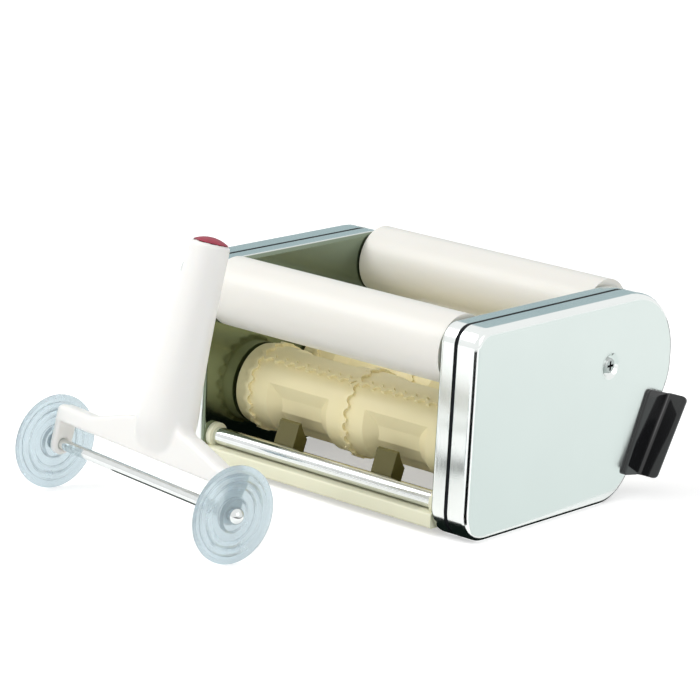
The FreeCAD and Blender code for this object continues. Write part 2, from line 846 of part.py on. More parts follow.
def crank_knob():
    """A turned grip that spins on the crank's pin, with a recess for its end screw."""
    bore = knob_pin_radius + running_clearance
    start = knob_start_x()
    end = start - knob_length
    recess = knob_screw_radius + knob_recess_gap

    def at(along, radius):
        return vector(start - along, knob_y(), roll_axis_z + radius)

    grip = Part.BSplineCurve()
    grip.interpolate(
        [
            at(0, knob_waist_radius),
            at(knob_length * 0.18, knob_waist_radius + 0.6),
            at(knob_length * 0.62, knob_radius),
            at(knob_length * 0.88, knob_radius - 0.9),
            at(knob_length, knob_waist_radius - 0.5),
        ]
    )
    along_recess = knob_length - knob_screw_height - knob_recess_gap
    outline = [
        at(knob_length, knob_waist_radius - 0.5),
        at(knob_length, recess),
        at(along_recess, recess),
        at(along_recess, bore),
        at(0, bore),
        at(0, knob_waist_radius),
    ]
    edges = [grip.toShape()]
    edges += [Part.makeLine(outline[i], outline[i + 1]) for i in range(len(outline) - 1)]
    face = Part.Face(Part.Wire(edges))
    knob = face.revolve(vector(end, knob_y(), roll_axis_z), X_AXIS, 360)
    return knob


def knob_screw():
    head_x = knob_tip_x() - 0.4
    head = rod(knob_screw_radius, head_x - knob_screw_height + 0.6, head_x, knob_y(), roll_axis_z)
    return fillet_rim(head, head_x - knob_screw_height + 0.6, 0.6)


# Dough cutter: drawn upright with its axle along X through the origin, then put in place
def place_cutter(shape):
    shape.rotate(ORIGIN, X_AXIS, -cutter_lean)
    shape.rotate(ORIGIN, vector(0, 0, 1), cutter_turn)
    shape.translate(vector(cutter_x, cutter_y, wheel_axis_z))
    return shape


def leg_outer_x():
    return wheel_spacing / 2 - wheel_hub_length / 2 - yoke_leg_gap


def cutter_yoke():
    leg_outer = leg_outer_x()
    leg_inner = leg_outer - yoke_leg_thickness
    legs = []
    for side in (-1, 1):
        low_x, high_x = sorted((side * leg_inner, side * leg_outer))
        half_leg = yoke_leg_width / 2
        upright = box((low_x, -half_leg, 0), (high_x, half_leg, yoke_gap + 2))
        legs += [upright, rod(half_leg, low_x, high_x, 0, 0)]
    body = union([yoke_beam(leg_outer), handle_body()] + legs)
    axle_hole = rod(cutter_axle_radius, -leg_outer - 1, leg_outer + 1, 0, 0)
    cap_hole = Part.makeCylinder(
        cap_radius - 1.2,
        cap_plug_depth + 1,
        vector(handle_offset, 0, handle_top - cap_plug_depth),
    )
    return body.cut([axle_hole, cap_hole])


def yoke_beam(half_length):
    """The bar over the axle, which rises to the handle and curves up against its foot."""
    half_width = yoke_width / 2
    end_z = yoke_gap + yoke_end_thickness
    rise_z = end_z + yoke_rise

    def at(x, z):
        return vector(x, -half_width, z)

    edges = [Part.makeLine(at(-half_length, yoke_gap), at(half_length, yoke_gap))]
    tops = []
    for side in (-1, 1):
        end = side * half_length
        slope_end = at(handle_offset + side * (yoke_rise_half_length + yoke_slope_length), end_z)
        slope_start = at(handle_offset + side * yoke_rise_half_length, rise_z)
        gusset_top = at(handle_offset + side * handle_low_radius, rise_z + gusset_height)
        gusset_middle = at(
            handle_offset + side * (handle_low_radius * 0.75 + yoke_rise_half_length * 0.25),
            rise_z + gusset_height * 0.32,
        )
        edges += [
            Part.makeLine(at(end, yoke_gap), at(end, end_z)),
            Part.makeLine(at(end, end_z), slope_end),
            Part.makeLine(slope_end, slope_start),
            Part.Arc(slope_start, gusset_middle, gusset_top).toShape(),
        ]
        tops.append(gusset_top)
    edges.append(Part.makeLine(tops[0], tops[1]))
    outline = Part.Wire(Part.__sortEdges__(edges))
    beam = Part.Face(outline).extrude(vector(0, yoke_width, 0))
    rims = []
    for edge in beam.Edges:
        extent = edge.BoundBox
        if extent.YLength < 1e-6 and extent.ZMin > end_z - 1e-6 and extent.ZMin < rise_z + 1e-6:
            rims.append(edge)
    return beam.makeFillet(yoke_edge_radius, rims)


def handle_body():
    """A tapered round grip."""
    axis_foot = vector(handle_offset, 0, 0)

    def at(radius, z):
        return axis_foot + vector(radius, 0, z)

    side = Part.BSplineCurve()
    side.interpolate(
        [
            at(handle_low_radius, handle_low_height),
            at(handle_middle_radius, handle_middle_height),
            at(handle_top_radius + 0.4, handle_top - 14),
            at(handle_top_radius, handle_top - 1.2),
        ]
    )
    edges = [
        Part.makeLine(at(0, handle_low_height), at(handle_low_radius, handle_low_height)),
        side.toShape(),
        Part.makeLine(at(handle_top_radius, handle_top - 1.2), at(handle_top_radius - 1.2, handle_top)),
        Part.makeLine(at(handle_top_radius - 1.2, handle_top), at(0, handle_top)),
        Part.makeLine(at(0, handle_top), at(0, handle_low_height)),
    ]
    grip = Part.Face(Part.Wire(edges)).revolve(axis_foot, vector(0, 0, 1), 360)
    return grip.fuse(handle_foot())


def handle_foot():
    """The foot of the grip, which narrows from round to the width of the yoke."""
    middle_z = yoke_gap + yoke_end_thickness
    rise_z = middle_z + yoke_rise
    sections = [
        (yoke_gap + 1.0, handle_foot_radius + 1.0, yoke_width / 2 - 0.3),
        (middle_z, handle_foot_radius + 0.6, yoke_width / 2 + 3.4),
        (rise_z, handle_foot_radius, handle_foot_radius - 1.8),
        ((rise_z + handle_low_height) / 2, handle_foot_radius - 0.8, handle_foot_radius - 1.1),
        (handle_low_height, handle_low_radius, handle_low_radius),
    ]
    wires = []
    for z, half_length, half_width in sections:
        spread = FreeCAD.Matrix()
        spread.scale(half_length, half_width, 1)
        oval = Part.Wire(Part.makeCircle(1.0)).transformGeometry(spread)
        oval.translate(vector(handle_offset, 0, z))
        wires.append(oval)
    return Part.makeLoft(wires, True, False)


def cutter_cap():
    cap_top = handle_top + cap_dome
    plug = Part.makeCylinder(
        cap_radius - 1.2, cap_plug_depth, vector(handle_offset, 0, handle_top - cap_plug_depth)
    )
    sphere_radius = (cap_radius ** 2 + cap_dome ** 2) / (2 * cap_dome)
    ball = Part.makeSphere(sphere_radius, vector(handle_offset, 0, cap_top - sphere_radius))
    slice_above = Part.makeCylinder(cap_radius, cap_dome + 1, vector(handle_offset, 0, handle_top))
    return plug.fuse(ball.common(slice_above))


def cutter_axle():
    shoulder = leg_outer_x() + yoke_leg_gap * 0.5
    end = wheel_spacing / 2 + wheel_hub_length / 2 + yoke_leg_gap
    middle = rod(cutter_axle_radius, -shoulder, shoulder, 0, 0)
    return middle.fuse(rod(cutter_journal_radius, -end - 1, end + 1, 0, 0))


def cutter_wheel():
    """A thin cutting disc with a hub, two raised rings and a bevelled edge."""
    middle = wheel_spacing / 2
    web = wheel_web / 2
    hub = wheel_hub_length / 2
    bore = cutter_journal_radius + running_clearance
    raised = web + wheel_ring_height
    side = [
        (hub, bore),
        (hub, wheel_hub_radius),
        (web, wheel_hub_radius + 0.8),
        (web, wheel_inner_ring - wheel_ring_width),
        (raised, wheel_inner_ring - wheel_ring_width / 2),
        (raised, wheel_inner_ring + wheel_ring_width / 2),
        (web, wheel_inner_ring + wheel_ring_width),
        (web, wheel_outer_ring - wheel_ring_width),
        (raised, wheel_outer_ring - wheel_ring_width / 2),
        (raised, wheel_outer_ring + wheel_ring_width / 2),
        (web, wheel_outer_ring + wheel_ring_width),
        (web, wheel_radius - wheel_rim_width),
        (wheel_edge / 2, wheel_radius),
    ]
    profile = [(middle + offset, radius) for offset, radius in side]
    profile += [(middle - offset, radius) for offset, radius in reversed(side)]
    return revolved(profile)


def axle_domes():
    """Pressed steel caps that hold the wheels on the axle."""
    start = wheel_spacing / 2 + wheel_hub_length / 2 + yoke_leg_gap
    ball_radius = (dome_radius ** 2 + dome_height ** 2) / (2 * dome_height)
    ball = Part.makeSphere(ball_radius, vector(start + dome_height - ball_radius, 0, 0))
    dome = ball.common(rod(dome_radius, start, start + dome_height + 1, 0, 0))
    dome = dome.cut(rod(cutter_journal_radius, start - 1, start + 1, 0, 0))
    return [dome, mirrored(dome)]


def build():
    """Every node of the ravioli maker: its name and its solids, in the machine's frame."""
    pan = inner_pan()
    plate = side_plate()
    post = cover_post()
    screw = cover_screw()
    hook = hook_bracket()
    wheel = cutter_wheel()
    nodes = {
        "right_inner_pan": [pan],
        "left_inner_pan": [mirrored(pan)],
        "right_side_plate": [plate],
        "left_side_plate": [mirrored(plate)],
        "right_outer_cover": [outer_cover(False)],
        "left_outer_cover": [mirrored(outer_cover(True))],
        "right_cover_post": [post],
        "left_cover_post": [mirrored(post)],
        "right_cover_screw": [screw],
        "left_cover_screw": [mirrored(screw)],
        "right_hook_bracket": [hook],
        "left_hook_bracket": [mirrored(hook)],
        "hook_rivets": hook_rivets(),
        "front_tie_rod": [tie_rod(front_tie_rod_y, tie_rod_z)],
        "rear_tie_rod": [tie_rod(rear_tie_rod_y, tie_rod_z)],
        "tie_rod_nuts": tie_rod_nuts(),
        "front_dough_comb": [dough_comb(front_tie_rod_y, front_roll_y, comb_front_reach, 1)],
        "rear_dough_comb": [dough_comb(rear_tie_rod_y, rear_roll_y, comb_rear_reach, -1)],
        "shaft_bushes": shaft_bushes(),
        "front_guide_axle": [guide_axle(front_guide_y, front_guide_z)],
        "rear_guide_axle": [guide_axle(rear_guide_y, rear_guide_z)],
        "guide_axle_clips": guide_axle_clips(),
        "front_guide_roller": [guide_roller(front_guide_y, front_guide_z)],
        "rear_guide_roller": [guide_roller(rear_guide_y, rear_guide_z)],
        "front_guide_plugs": guide_plugs(front_guide_y, front_guide_z),
        "rear_guide_plugs": guide_plugs(rear_guide_y, rear_guide_z),
        "front_forming_roll": [forming_roll(front_roll_y, 180 - ridge_angle)],
        "rear_forming_roll": [forming_roll(rear_roll_y, ridge_angle)],
        "front_roll_shaft": [front_shaft()],
        "rear_roll_shaft": [roll_shaft(rear_roll_y, bush_end_x + 4)],
        "drive_gear": [spur_gear(front_roll_y)],
        "driven_gear": [spur_gear(rear_roll_y)],
        "front_shaft_clips": shaft_clips(front_roll_y),
        "rear_shaft_clips": shaft_clips(rear_roll_y),
        "crank_rod": [lowered(crank_rod())],
        "crank_knob": [lowered(crank_knob())],
        "knob_screw": [lowered(knob_screw())],
        "cutter_handle": [place_cutter(cutter_yoke())],
        "cutter_end_cap": [place_cutter(cutter_cap())],
        "cutter_axle": [place_cutter(cutter_axle())],
        "left_cutter_wheel": [place_cutter(mirrored(wheel))],
        "right_cutter_wheel": [place_cutter(wheel.copy())],
        "cutter_axle_domes": [place_cutter(dome) for dome in axle_domes()],
    }
    return nodes


def footprint_centre(nodes):
    """The middle of the space that the whole set takes up on the table."""
    whole = FreeCAD.BoundBox()
    for solids in nodes.values():
        for solid in solids:
            whole.add(solid.optimalBoundingBox(False, False))
    return vector(whole.Center.x, whole.Center.y, 0)


nodes = build()
origin = footprint_centre(nodes)
os.makedirs("parts", exist_ok=True)
for name, solids in nodes.items():
    for solid in solids:
        solid.translate(origin * -1)
    shape = solids[0] if len(solids) == 1 else Part.makeCompound(solids)
    shape.exportStep(f"parts/{name}.step")
print(f"{len(nodes)} nodes, origin at machine x {origin.x:.2f}, y {origin.y:.2f}")
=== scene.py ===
import math

import bpy
from mathutils import Matrix, Vector


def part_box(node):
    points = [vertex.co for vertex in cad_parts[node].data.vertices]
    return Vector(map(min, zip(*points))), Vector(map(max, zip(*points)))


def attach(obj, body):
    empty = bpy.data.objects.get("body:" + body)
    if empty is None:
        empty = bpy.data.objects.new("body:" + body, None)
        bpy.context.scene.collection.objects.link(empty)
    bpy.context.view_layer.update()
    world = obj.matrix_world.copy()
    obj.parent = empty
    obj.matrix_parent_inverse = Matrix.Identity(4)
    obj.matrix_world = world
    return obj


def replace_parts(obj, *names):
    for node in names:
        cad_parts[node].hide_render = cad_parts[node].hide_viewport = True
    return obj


bl_info = {
    "name": "Ravioli Maker",
    "version": (1, 0, 0),
    "blender": (4, 5, 0),
    "location": "View3D > Sidebar > Ravioli Maker",
    "description": "Dresses a hand-cranked ravioli maker and its dough cutter in their real finishes",
    "category": "Object",
}

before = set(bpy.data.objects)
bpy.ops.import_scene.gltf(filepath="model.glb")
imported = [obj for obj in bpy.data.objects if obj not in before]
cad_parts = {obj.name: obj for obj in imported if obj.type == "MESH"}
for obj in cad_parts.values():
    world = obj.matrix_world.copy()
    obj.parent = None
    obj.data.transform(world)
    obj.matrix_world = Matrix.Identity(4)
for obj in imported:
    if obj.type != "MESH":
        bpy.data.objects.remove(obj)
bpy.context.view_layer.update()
MM = 0.001
MERGE_DISTANCE = 0.002 * MM
ACROSS_X = (0, math.pi / 2, 0)

# Rings of a cover's dimple, from the face inwards: radius, and depth below the ring before
DIMPLE_RINGS_MM = ((6.5, 0.0), (5.95, 0.03), (5.7, 0.12), (4.6, 1.25), (4.3, 0.2), (2.6, 0.0))
# The liner stands this much before the face, so that it hides the facets under it
DIMPLE_LIP = 0.03 * MM
# From the lower end of a hook bracket's bend line to its upper end
HOOK_BEND_RISE = (0, 20.0 * MM, 34.8 * MM)
# From each end of the bend line to the flat leg's corner beside it
HOOK_LEG_LOW = (0, -13.0 * MM, 2.2 * MM)
HOOK_LEG_HIGH = (0, -16.6 * MM, 5.0 * MM)
# Half length and half width of one bar of a screw's cross slot, and the depth of unpainted metal over the
# painted shade in it
SLOT_HALF_LENGTH = 2.25 * MM
SLOT_HALF_WIDTH = 0.6 * MM
SLOT_UNSHADED_DEPTH = 0.15 * MM
# Fingers of the combs, which are coloured with painted shade: their height over the table, and how far they
# reach from the middle
FINGER_START_Z = 11.5 * MM
FINGER_REACH_X = 58 * MM
# Light that the floor and the walls send to the camera and to mirrors, and that the walls send elsewhere
FLOOR_LIFT = 0.42
WALL_SEEN = 1.0
WALL_LIGHT = 0.62


def linear(hex_colour):
    """An sRGB hex colour as linear red, green, blue and alpha."""
    channels = [int(hex_colour[i:i + 2], 16) / 255 for i in (1, 3, 5)]
    return [c / 12.92 if c <= 0.04045 else ((c + 0.055) / 1.055) ** 2.4 for c in channels] + [1.0]


def colour_property(name, description, hex_colour):
    return bpy.props.FloatVectorProperty(
        name=name, description=description, default=linear(hex_colour), size=4, subtype="COLOR", min=0, max=1
    )


def length_property(name, description, metres):
    return bpy.props.FloatProperty(
        name=name, description=description, default=metres, min=0, subtype="DISTANCE", unit="LENGTH"
    )


class RavioliColours(bpy.types.PropertyGroup):
    """Colours of the machine and the cutter."""

    casing: colour_property("Casing", "Polished stainless sheet of both casings", "#EFF3F1")
    side_plate: colour_property("Side plate", "Blackened plate between pan and cover", "#15171A")
    plain_steel: colour_property("Plain steel", "Shafts and guide axles", "#A9ADAE")
    zinc: colour_property("Zinc plate", "Screws, nuts, clips and posts", "#C3C7C6")
    chrome: colour_property("Chrome", "Tie rods, crank and cutter axle", "#E6E9E8")
    hook: colour_property("Hook enamel", "Gloss black enamel of the hook brackets", "#08090C")
    # Painted shade: the inner faces of the casings are coloured darker, standing in for the shade and dark
    # reflections inside the machine.
    pan_inside_painted_shade: colour_property("Pan inside", "Inner faces of the casings, duller than outside", "#7F8B78")
    # Painted shade: the screws' cross slots are coloured dark, standing in for the shade inside them.
    slot_painted_shade: colour_property("Slot dirt", "Dirt in the cross slots of the cover screws", "#26292A")
    roll: colour_property("Roll cream", "Moulded forming rolls", "#FFF3C4")
    comb: colour_property("Comb cream", "Dough combs under the rolls", "#F8F7DC")
    finger_painted_shade: colour_property("Finger olive", "Fingers of the combs, darkened by oil", "#625C2C")
    # Painted shade: the comb fingers are coloured dark olive, standing in for the deep shadow under the
    # rolls.
    guide: colour_property("Guide white", "Guide rollers", "#F3F1EA")
    gear: colour_property("Gear nylon", "Spur gears behind the cover", "#E4E0D2")
    bronze: colour_property("Bronze", "Sintered bushes of the roll shafts", "#B08A52")
    knob: colour_property("Knob black", "Turned crank knob", "#17171A")
    handle: colour_property("Handle white", "Cutter handle and yoke", "#FBFAF6")
    cap: colour_property("Cap crimson", "Cap on the cutter handle", "#BD1341")
    wheel: colour_property("Wheel tint", "Frosted plastic of the cutter wheels", "#DCEAF0")


class RavioliSizes(bpy.types.PropertyGroup):
    """Sizes of surface detail, and the camera of the product picture."""

    sheet_edge: length_property("Sheet edge", "Rounding on the cut edges of steel sheet", 0.2 * MM)
    hook_sheet: length_property("Hook sheet", "Thickness of the hook brackets", 1.5 * MM)
    hook_corner: length_property("Hook corner", "Rounding of the corners of the hook brackets", 2.2 * MM)
    hook_bend: length_property("Hook bend", "Bend between the legs of a hook bracket", 3.2 * MM)
    handle_grain: length_property("Handle grain", "Voxel size of the softened cutter handle", 0.7 * MM)
    camera_distance: length_property("Camera distance", "From the camera to the middle of the picture", 1.5)
    camera_azimuth: bpy.props.FloatProperty(
        name="Camera azimuth", description="Turn of the camera round the object",
        default=math.radians(40.267), subtype="ANGLE", unit="ROTATION"
    )
    camera_elevation: bpy.props.FloatProperty(
        name="Camera elevation", description="Height of the camera as an angle",
        default=math.radians(14.423), subtype="ANGLE", unit="ROTATION"
    )
    camera_roll: bpy.props.FloatProperty(
        name="Camera roll", description="Tilt of the picture", default=math.radians(3.175), subtype="ANGLE",
        unit="ROTATION"
    )
    camera_target: bpy.props.FloatVectorProperty(
        name="Camera target", description="Point in the middle of the picture",
        default=(0.02538, 0.02562, 0.05935), size=3, subtype="TRANSLATION", unit="LENGTH"
    )
    camera_lens: bpy.props.FloatProperty(
        name="Camera lens", description="Focal length in millimetres", default=170.07, min=10
    )


def colours():
    return bpy.context.scene.ravioli_colours


def sizes():
    return bpy.context.scene.ravioli_sizes


def add_node(tree, kind, settings=(), links=()):
    """Add one shader node, with its properties, socket values and incoming links."""
    node = tree.nodes.new(kind)
    for key, value in dict(settings).items():
        if isinstance(key, int) or key in node.inputs:
            node.inputs[key].default_value = value
        else:
            setattr(node, key, value)
    for key, source in dict(links).items():
        tree.links.new(source, node.inputs[key])
    return node


def start_material(name):
    """A new material with its object coordinates and its output node."""
    material = bpy.data.materials.new(name)
    material.use_nodes = True
    tree = material.node_tree
    tree.nodes.clear()
    place = add_node(tree, "ShaderNodeTexCoord").outputs["Object"]
    output = add_node(tree, "ShaderNodeOutputMaterial")
    return material, tree, place, output


def shade_between(tree, factor, dark, light):
    """A colour that runs from dark to light with the factor."""
    mix = add_node(
        tree, "ShaderNodeMix", {"data_type": "RGBA", 6: dark, 7: light}, {0: factor}
    )
    return mix.outputs[2]


def scaled(colour, factor):
    """A colour made darker or lighter, up to white."""
    return [min(1.0, c * factor) for c in colour[:3]] + [1.0]


def value_range(tree, value, low, high):
    """Stretch a texture's middle band over low to high."""
    ranged = add_node(
        tree, "ShaderNodeMapRange",
        {"From Min": 0.3, "From Max": 0.7, "To Min": low, "To Max": high}, {"Value": value}
    )
    return ranged.outputs["Result"]


def polished_stainless(name, colour):
    """Cold-rolled stainless sheet, buffed: bright, with a faint upright grain of 0.4 mm and soft smudges."""
    material, tree, place, output = start_material(name)
    stretch = [1 / (0.4 * MM), 1 / (0.4 * MM), 1 / (40 * MM)]
    grain_place = add_node(tree, "ShaderNodeMapping", {"Scale": stretch}, {"Vector": place})
    grain = add_node(
        tree, "ShaderNodeTexNoise", {"Scale": 1.0, "Detail": 3.0, "Roughness": 0.6},
        {"Vector": grain_place.outputs["Vector"]}
    )
    smudge = add_node(
        tree, "ShaderNodeTexNoise", {"Scale": 1 / (35 * MM), "Detail": 2.0, "Roughness": 0.5},
        {"Vector": place}
    )
    tint = shade_between(tree, smudge.outputs["Fac"], scaled(colour, 0.95), colour)
    both = add_node(
        tree, "ShaderNodeMath", {"operation": "MULTIPLY"},
        {0: grain.outputs["Fac"], 1: smudge.outputs["Fac"]}
    )
    rough = add_node(
        tree, "ShaderNodeMapRange", {"From Min": 0.15, "From Max": 0.4, "To Min": 0.13, "To Max": 0.2},
        {"Value": both.outputs["Value"]}
    )
    bump = add_node(
        tree, "ShaderNodeBump", {"Strength": 0.03, "Distance": 0.02 * MM}, {"Height": grain.outputs["Fac"]}
    )
    metal = add_node(
        tree, "ShaderNodeBsdfPrincipled", {"Metallic": 1.0},
        {"Base Color": tint, "Roughness": rough.outputs["Result"], "Normal": bump.outputs["Normal"]}
    )
    tree.links.new(metal.outputs["BSDF"], output.inputs["Surface"])
    return material


def turned_metal(name, colour, rough_low, rough_high, line_mm):
    """Steel turned in a lathe and plated: fine rings round the bar, spaced by line_mm."""
    material, tree, place, output = start_material(name)
    stretch = [1 / (line_mm * MM), 1 / (25 * MM), 1 / (25 * MM)]
    rings_place = add_node(tree, "ShaderNodeMapping", {"Scale": stretch}, {"Vector": place})
    rings = add_node(
        tree, "ShaderNodeTexNoise", {"Scale": 1.0, "Detail": 2.0}, {"Vector": rings_place.outputs["Vector"]}
    )
    cloud = add_node(
        tree, "ShaderNodeTexNoise", {"Scale": 1 / (6 * MM), "Detail": 3.0}, {"Vector": place}
    )
    tint = shade_between(tree, cloud.outputs["Fac"], scaled(colour, 0.9), colour)
    rough = value_range(tree, cloud.outputs["Fac"], rough_low, rough_high)
    bump = add_node(
        tree, "ShaderNodeBump", {"Strength": 0.06, "Distance": 0.02 * MM}, {"Height": rings.outputs["Fac"]}
    )
    metal = add_node(
        tree, "ShaderNodeBsdfPrincipled", {"Metallic": 1.0},
        {"Base Color": tint, "Roughness": rough, "Normal": bump.outputs["Normal"]}
    )
    tree.links.new(metal.outputs["BSDF"], output.inputs["Surface"])
    return material


def gloss_enamel(name, colour, rough_low, rough_high, ior, coat):
    """Stoved enamel on steel, with a slight orange peel of 1.5 mm: a high IOR and coat give a wet
    gloss that mirrors pale walls, a low one the matt black of a chemically blackened plate."""
    material, tree, place, output = start_material(name)
    peel = add_node(
        tree, "ShaderNodeTexNoise", {"Scale": 1 / (1.5 * MM), "Detail": 1.0}, {"Vector": place}
    )
    haze = add_node(tree, "ShaderNodeTexNoise", {"Scale": 1 / (14 * MM), "Detail": 3.0}, {"Vector": place})
    tint = shade_between(tree, haze.outputs["Fac"], colour, scaled(colour, 1.6))
    rough = value_range(tree, haze.outputs["Fac"], rough_low, rough_high)
    bump = add_node(
        tree, "ShaderNodeBump", {"Strength": 0.08, "Distance": 0.03 * MM}, {"Height": peel.outputs["Fac"]}
    )
    enamel = add_node(
        tree, "ShaderNodeBsdfPrincipled", {"IOR": ior, "Coat Weight": coat, "Coat Roughness": 0.06},
        {"Base Color": tint, "Roughness": rough, "Normal": bump.outputs["Normal"]}
    )
    tree.links.new(enamel.outputs["BSDF"], output.inputs["Surface"])
    return material


def moulded_plastic(name, colour, rough_low, rough_high, depth, grain_mm, shade=0.93, flow_mm=22):
    """Injection-moulded plastic: slow flow shading of flow_mm between the colour and its darker shade,
    under a fine spark-eroded grain of grain_mm. A small flow_mm with a deep shade gives a speckled cap."""
    material, tree, place, output = start_material(name)
    flow = add_node(
        tree, "ShaderNodeTexNoise", {"Scale": 1 / (flow_mm * MM), "Detail": 2.0, "Distortion": 0.6},
        {"Vector": place}
    )
    grain = add_node(
        tree, "ShaderNodeTexNoise", {"Scale": 1 / (grain_mm * MM), "Detail": 2.0}, {"Vector": place}
    )
    tint = shade_between(tree, flow.outputs["Fac"], scaled(colour, shade), colour)
    rough = value_range(tree, flow.outputs["Fac"], rough_low, rough_high)
    bump = add_node(
        tree, "ShaderNodeBump", {"Strength": 0.12, "Distance": 0.02 * MM}, {"Height": grain.outputs["Fac"]}
    )
    plastic = add_node(
        tree, "ShaderNodeBsdfPrincipled",
        {
            "IOR": 1.5, "Subsurface Weight": 0.12, "Subsurface Scale": depth,
            "Subsurface Radius": (1.0, 0.8, 0.6),
        },
        {"Base Color": tint, "Roughness": rough, "Normal": bump.outputs["Normal"]}
    )
    tree.links.new(plastic.outputs["BSDF"], output.inputs["Surface"])
    return material


def frosted_plastic(name, colour):
    """Clear styrene moulded in a matt tool: light passes but is scattered, edges look denser."""
    material, tree, place, output = start_material(name)
    frost = add_node(tree, "ShaderNodeTexNoise", {"Scale": 1 / (0.8 * MM), "Detail": 3.0}, {"Vector": place})
    cloud = add_node(tree, "ShaderNodeTexNoise", {"Scale": 1 / (9 * MM), "Detail": 2.0}, {"Vector": place})
    tint = shade_between(tree, cloud.outputs["Fac"], scaled(colour, 0.94), colour)
    rough = value_range(tree, cloud.outputs["Fac"], 0.2, 0.28)
    bump = add_node(
        tree, "ShaderNodeBump", {"Strength": 0.03, "Distance": 0.01 * MM}, {"Height": frost.outputs["Fac"]}
    )
    styrene = add_node(
        tree, "ShaderNodeBsdfPrincipled", {"IOR": 1.4, "Transmission Weight": 0.72},
        {"Base Color": tint, "Roughness": rough, "Normal": bump.outputs["Normal"]}
    )
    tree.links.new(styrene.outputs["BSDF"], output.inputs["Surface"])
    return material


def tint_inside(material, colour, boxes, soft):
    """Turn a material's base colour to another inside boxes in object coordinates, fading out over soft."""
    tree = material.node_tree
    place = next(n for n in tree.nodes if n.type == "TEX_COORD").outputs["Object"]
    shader = next(n for n in tree.nodes if n.type == "BSDF_PRINCIPLED")
    axes = add_node(tree, "ShaderNodeSeparateXYZ", {}, {"Vector": place})
    for low, high in boxes:
        inside = None
        for start, end, axis in zip(low, high, axes.outputs):
            reach = (end - start) / 2
            from_middle = add_node(
                tree, "ShaderNodeMath", {"operation": "SUBTRACT", 1: (start + end) / 2}, {0: axis}
            )
            aside = add_node(
                tree, "ShaderNodeMath", {"operation": "ABSOLUTE"}, {0: from_middle.outputs["Value"]}
            )
            near = add_node(
                tree, "ShaderNodeMapRange",
                {"From Min": reach, "From Max": reach + soft, "To Min": 1.0, "To Max": 0.0},
                {"Value": aside.outputs["Value"]}
            ).outputs["Result"]
            if inside is not None:
                near = add_node(
                    tree, "ShaderNodeMath", {"operation": "MULTIPLY"}, {0: inside, 1: near}
                ).outputs["Value"]
            inside = near
        before = shader.inputs["Base Color"].links[0].from_socket
        mix = add_node(tree, "ShaderNodeMix", {"data_type": "RGBA", 7: colour}, {0: inside, 6: before})
        tree.links.new(mix.outputs[2], shader.inputs["Base Color"])


def middle_x():
    """The plane halfway between the casings."""
    low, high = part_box("front_forming_roll")
    return (low.x + high.x) / 2


def pick(piece, kind, wanted):
    """In edit mode, select only the vertices, edges or faces that wanted accepts by their place."""
    bpy.ops.object.mode_set(mode="OBJECT")
    mesh = piece.data
    for group in (mesh.vertices, mesh.edges, mesh.polygons):
        group.foreach_set("select", [False] * len(group))
    if kind == "VERT":
        chosen = [v for v in mesh.vertices if wanted(v.co)]
    elif kind == "EDGE":
        chosen = [e for e in mesh.edges if all(wanted(mesh.vertices[i].co) for i in e.vertices)]
    else:
        chosen = [f for f in mesh.polygons if wanted(f.center)]
    if not chosen:
        raise RuntimeError(f"{piece.name}: nothing found to select")
    for each in chosen:
        each.select = True
    bpy.ops.object.mode_set(mode="EDIT")
    bpy.ops.mesh.select_mode(type=kind)


def made_start(name):
    """Name the primitive just added, put its origin at zero, and select all of it in edit mode."""
    bpy.ops.object.transform_apply(location=True, rotation=True, scale=True)
    piece = bpy.context.object
    piece.name = name
    piece.data.name = name
    bpy.ops.object.mode_set(mode="EDIT")
    bpy.ops.mesh.select_all(action="SELECT")
    return piece


def square_start(name, place, size):
    """A square in the plane of a casing's face: the start of a sheet metal piece."""
    bpy.ops.object.select_all(action="DESELECT")
    bpy.ops.mesh.primitive_plane_add(size=size, location=place, rotation=ACROSS_X)
    return made_start(name)


def ring_start(name, place, radius, sides):
    """A circle in the plane of a casing's face: the start of a turned piece."""
    bpy.ops.object.select_all(action="DESELECT")
    bpy.ops.mesh.primitive_circle_add(vertices=sides, radius=radius, location=place, rotation=ACROSS_X)
    return made_start(name)


def own_copy(name, mesh):
    """A new object with its own copy of a mesh, all of it selected in edit mode."""
    piece = bpy.data.objects.new(name, mesh.copy())
    piece.data.name = name
    bpy.context.scene.collection.objects.link(piece)
    bpy.ops.object.select_all(action="DESELECT")
    piece.select_set(True)
    bpy.context.view_layer.objects.active = piece
    bpy.ops.object.mode_set(mode="EDIT")
    bpy.ops.mesh.select_all(action="SELECT")
    return piece


def apply_modifiers(piece, modifiers):
    """Add and apply modifiers, given as kind and settings, and leave the piece in object mode."""
    bpy.ops.object.mode_set(mode="OBJECT")
    bpy.context.view_layer.objects.active = piece
    for kind, settings in modifiers:
        modifier = piece.modifiers.new(kind.lower(), kind)
        for key, value in settings.items():
            setattr(modifier, key, value)
        bpy.ops.object.modifier_apply(modifier=modifier.name)


def finish_piece(piece, material, modifiers=()):
    """Apply the modifiers, turn the normals outwards, and set the piece on the machine."""
    apply_modifiers(piece, modifiers)
    bpy.ops.object.mode_set(mode="EDIT")
    bpy.ops.mesh.select_all(action="SELECT")
    bpy.ops.mesh.remove_doubles(threshold=MERGE_DISTANCE)
    bpy.ops.mesh.normals_make_consistent(inside=False)
    bpy.ops.object.mode_set(mode="OBJECT")
    bpy.ops.object.select_all(action="DESELECT")
    piece.select_set(True)
    bpy.ops.object.shade_smooth_by_angle(angle=math.radians(35))
    piece.data.materials.clear()
    piece.data.materials.append(material)
    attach(piece, "frame")
    return piece


def other_side(piece, name):
    """A mirrored copy of a piece, with its own mesh, on the other casing."""
    twin = own_copy(name, piece.data)
    bpy.ops.transform.resize(value=(-1, 1, 1), center_override=(middle_x(), 0, 0))
    bpy.ops.mesh.normals_make_consistent(inside=False)
    bpy.ops.object.mode_set(mode="OBJECT")
    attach(twin, "frame")
    return twin


